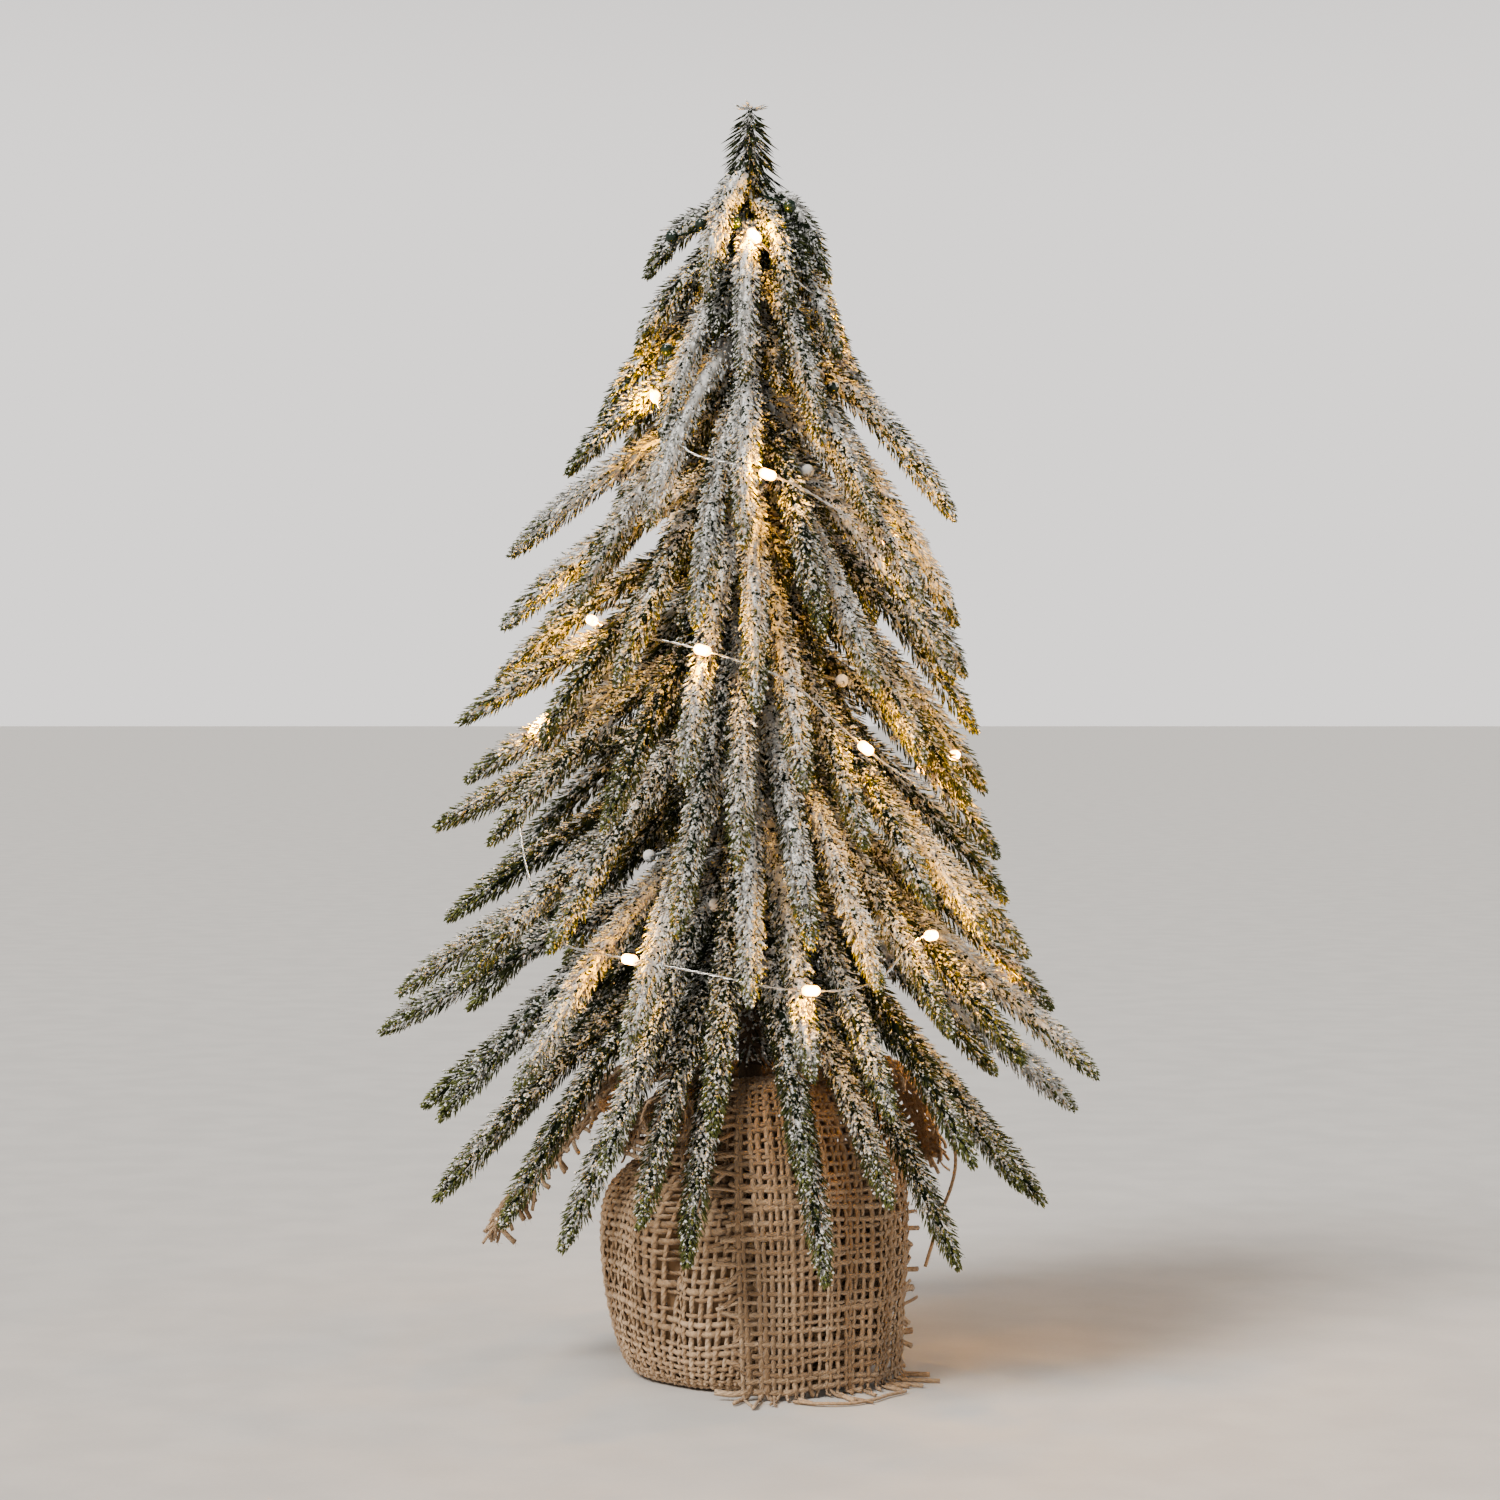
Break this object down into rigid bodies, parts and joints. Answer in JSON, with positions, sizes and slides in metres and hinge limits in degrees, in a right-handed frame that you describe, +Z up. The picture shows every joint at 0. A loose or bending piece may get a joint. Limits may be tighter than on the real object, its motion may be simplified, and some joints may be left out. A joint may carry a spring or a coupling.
{
  "type": "artificial tabletop tree",
  "caption": "Tabletop artificial fir: drooping flocked sprigs on a rod trunk set in a weighted foot wrapped in hessian, wound with a battery string of warm lights.",
  "frame": {"origin": "centre of the foot, on the surface it stands on", "axes": "+Z up the trunk, -Y the front, +X to the right seen from the front"},
  "size_m": [0.2466, 0.2228, 0.45],
  "materials": {
    "flocked_needles": "dark green needles under white-grey flock, yellow-green at the tips",
    "rod_steel": "plain drawn rod",
    "stem_wire": "wire covered in dark green plastic",
    "trunk_tape": "brown crepe tape wound on the rod",
    "cup_plastic": "thin black moulded cup",
    "cement": "rough cast cement",
    "hessian": "open plain weave jute with cut, frayed edges",
    "jute_twine": "two-ply jute twine",
    "light_wire": "two fine lacquered silver-coloured strands",
    "bead_resin": "clear resin drop",
    "led_chip": "warm white light-emitting chip",
    "gland_rubber": "soft sleeve",
    "case_plastic": "fine spark-eroded texture",
    "switch_plastic": "ribbed knob",
    "circuit_board": "green lacquered board",
    "cell_jacket": "plain printed jacket with no lettering",
    "contact_metal": "nickel-plated spring steel",
    "dark_ball": "dark green, a little flock on top",
    "frosted_ball": "grey-white flocked"
  },
  "bodies": {
    "tree": {"battery_1": "cell_jacket", "battery_2": "cell_jacket", "battery_case": "case_plastic", "casting_cup": "cup_plastic", "cement_weight": "cement", "circuit_board": "circuit_board", "contact_plates": "contact_metal", "contact_springs": "contact_metal", "dark_balls": "dark_ball", "frosted_balls": "frosted_ball", "hessian_collar": "hessian", "hessian_corner_back": "hessian", "hessian_corner_left": "hessian", "hessian_corner_right": "hessian", "hessian_curl": "hessian", "hessian_front_flap": "hessian", "hessian_pouch": "hessian", "inner_sprigs": "flocked_needles", "leader_sprig": "flocked_needles", "led_beads": "bead_resin", "led_chips": "led_chip", "light_wire": "light_wire", "loose_threads": "hessian", "neck_tie": "jute_twine", "sprig_stubs": "stem_wire", "sprig_tier_01": "flocked_needles", "sprig_tier_02": "flocked_needles", "sprig_tier_03": "flocked_needles", "sprig_tier_04": "flocked_needles", "sprig_tier_05": "flocked_needles", "sprig_tier_06": "flocked_needles", "sprig_tier_07": "flocked_needles", "sprig_tier_08": "flocked_needles", "sprig_tier_09": "flocked_needles", "sprig_tier_10": "flocked_needles", "sprig_tier_11": "flocked_needles", "sprig_tier_12": "flocked_needles", "sprig_tier_13": "flocked_needles", "sprig_tier_14": "flocked_needles", "trunk_rod": "rod_steel", "trunk_tape": "trunk_tape", "wire_gland": "gland_rubber"},
    "cover": {"battery_cover": "case_plastic"},
    "switch": {"switch_slider": "switch_plastic"},
    "sprig_1": {"bent_sprig_1": "flocked_needles"},
    "sprig_2": {"bent_sprig_2": "flocked_needles"},
    "sprig_3": {"bent_sprig_3": "flocked_needles"},
    "sprig_4": {"bent_sprig_4": "flocked_needles"},
    "sprig_5": {"bent_sprig_5": "flocked_needles"},
    "sprig_6": {"bent_sprig_6": "flocked_needles"}
  },
  "joints": [
    {"name": "cover_slide", "type": "slide", "parent": "tree", "child": "cover", "axis": [1, 0, 0], "range_m": [0, 0.056]},
    {"name": "switch_slide", "type": "slide", "parent": "tree", "child": "switch", "axis": [0, 1, 0], "range_m": [-0.0024, 0.0024]},
    {"name": "sprig_1_bend", "type": "hinge", "parent": "tree", "child": "sprig_1", "pos_m": [-0.00916, -0.00288, 0.151], "axis": [-0.3003, 0.9538, 0], "range_deg": [-8, 14]},
    {"name": "sprig_2_bend", "type": "hinge", "parent": "tree", "child": "sprig_2", "pos_m": [-0.00663, -0.00694, 0.149], "axis": [-0.7234, 0.6905, 0], "range_deg": [0, 14]},
    {"name": "sprig_3_bend", "type": "hinge", "parent": "tree", "child": "sprig_3", "pos_m": [-0.00228, -0.00933, 0.151], "axis": [-0.9715, 0.2372, 0], "range_deg": [-6, 14]},
    {"name": "sprig_4_bend", "type": "hinge", "parent": "tree", "child": "sprig_4", "pos_m": [0.00268, -0.00922, 0.149], "axis": [-0.9602, -0.2791, 0], "range_deg": [-4, 14]},
    {"name": "sprig_5_bend", "type": "hinge", "parent": "tree", "child": "sprig_5", "pos_m": [0.00729, -0.00625, 0.151], "axis": [-0.6508, -0.7593, 0], "range_deg": [-4, 14]},
    {"name": "sprig_6_bend", "type": "hinge", "parent": "tree", "child": "sprig_6", "pos_m": [0.00938, -0.00202, 0.149], "axis": [-0.2108, -0.9775, 0], "range_deg": [-8, 14]}
  ]
}
